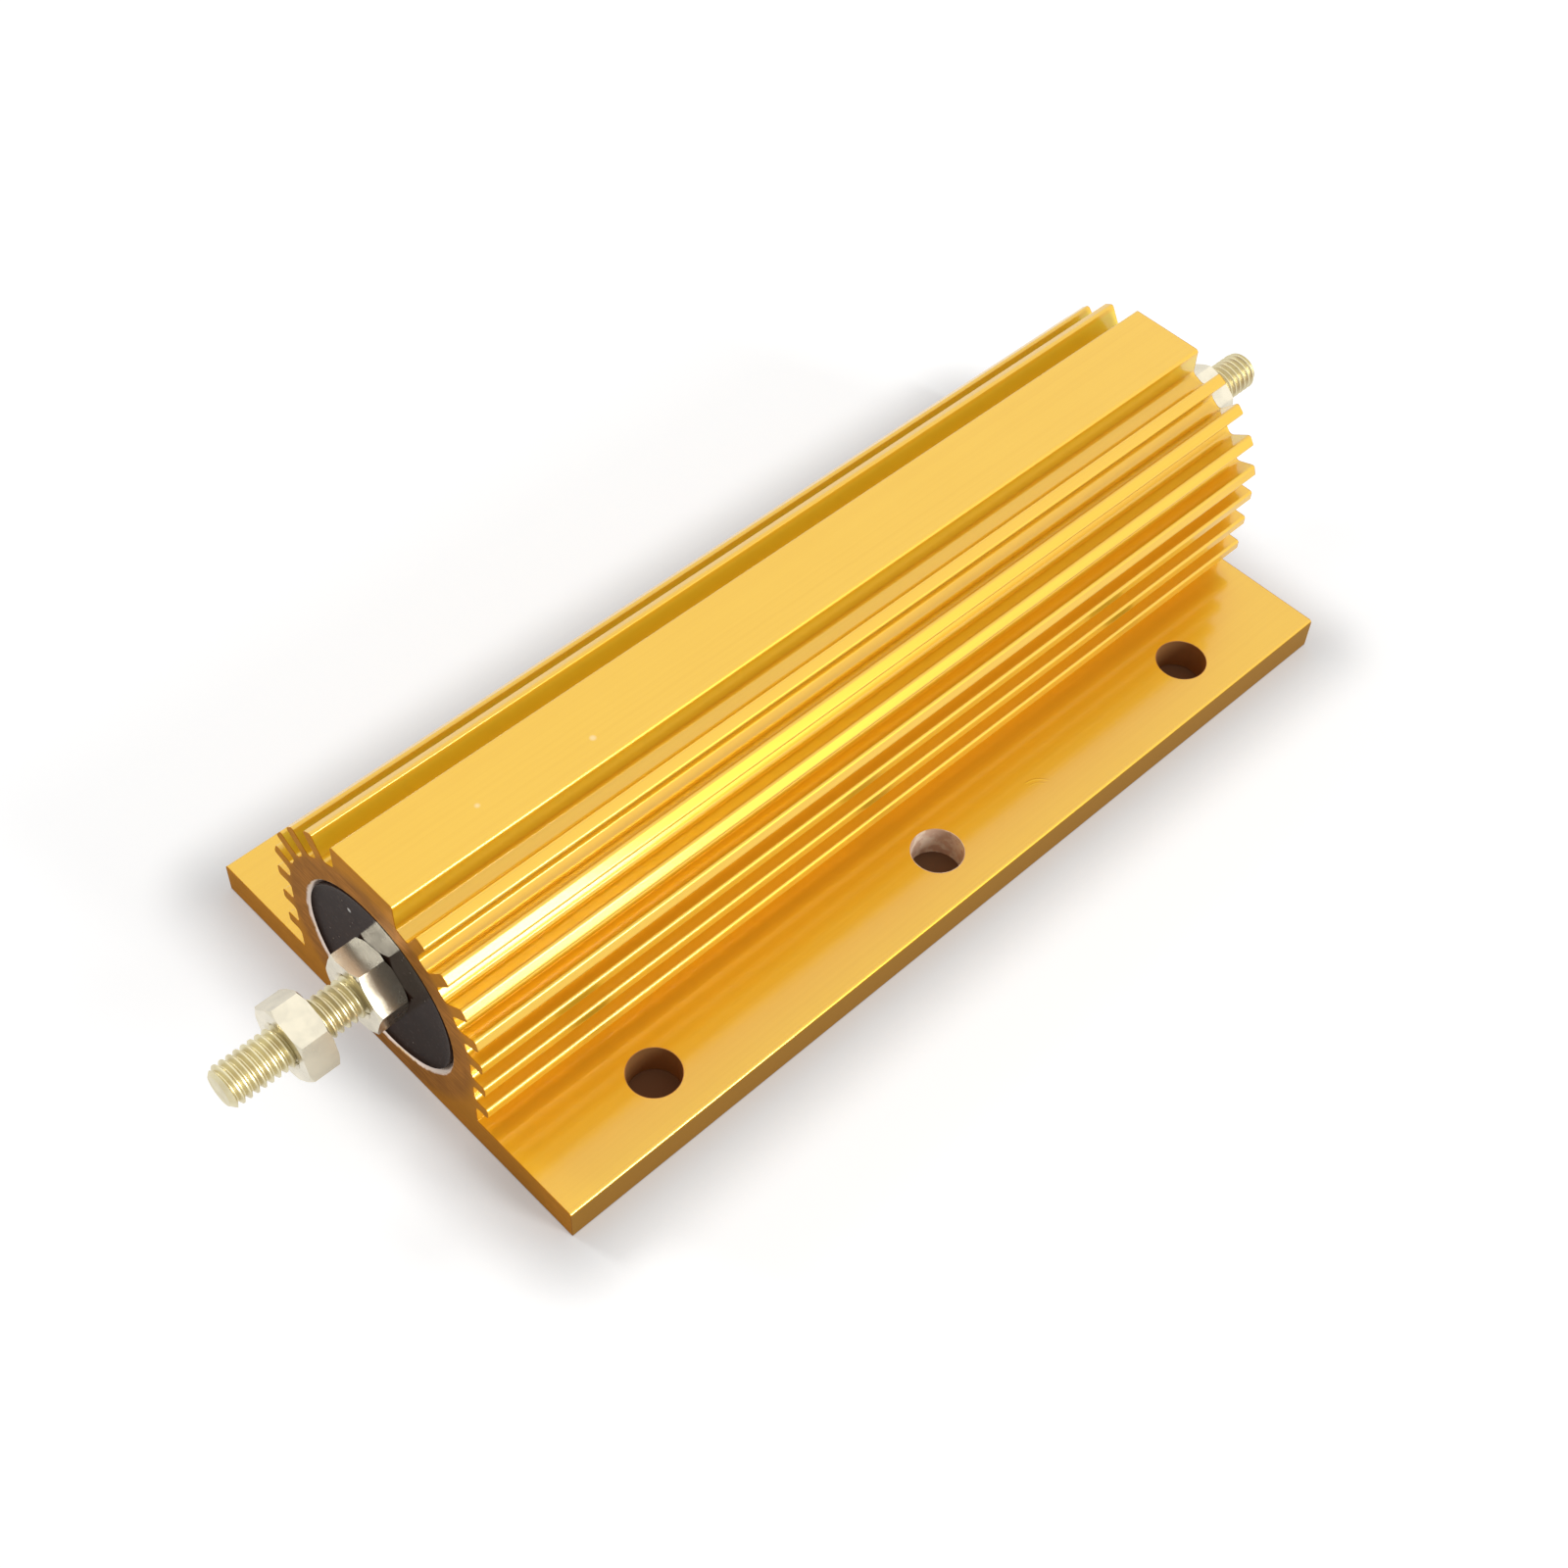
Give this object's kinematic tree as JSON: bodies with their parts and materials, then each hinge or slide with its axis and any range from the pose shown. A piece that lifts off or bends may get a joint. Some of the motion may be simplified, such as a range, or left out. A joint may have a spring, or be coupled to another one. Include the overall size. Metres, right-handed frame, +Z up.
{
  "type": "aluminium housed resistor",
  "caption": "Wirewound power resistor sealed in a finned, gold anodised aluminium housing on a flat drilled base plate, with a threaded stud and hex nuts at each end.",
  "frame": {"origin": "middle of the mounting face of the base plate", "axes": "+X along the extrusion towards the rear terminal, +Y across the base plate, +Z up, away from the mounting face"},
  "size_m": [0.13, 0.048, 0.026],
  "materials": {
    "anodised_aluminium": "gold anodised extrusion, satin",
    "terminal_metal": "steel, pale yellow zinc plated",
    "nut_metal": "steel, pale yellow zinc plated",
    "cap_metal": "stainless steel, satin",
    "wire_alloy": "resistance alloy wire, satin",
    "core_ceramic": "unglazed, matt",
    "filler_cement": "cast heat-conducting compound, matt",
    "seal_compound": "dark sealing compound, glossy"
  },
  "bodies": {
    "root": {"housing": "anodised_aluminium", "ceramic_core": "core_ceramic", "resistance_winding": "wire_alloy", "end_cap_front": "cap_metal", "end_cap_rear": "cap_metal", "filler": "filler_cement", "end_seal_front": "seal_compound", "end_seal_rear": "seal_compound", "terminal_stud_front": "terminal_metal", "terminal_stud_rear": "terminal_metal", "inner_nut_front": "nut_metal", "inner_nut_rear": "nut_metal", "outer_nut_front": "nut_metal", "outer_nut_rear": "nut_metal"}
  },
  "joints": []
}
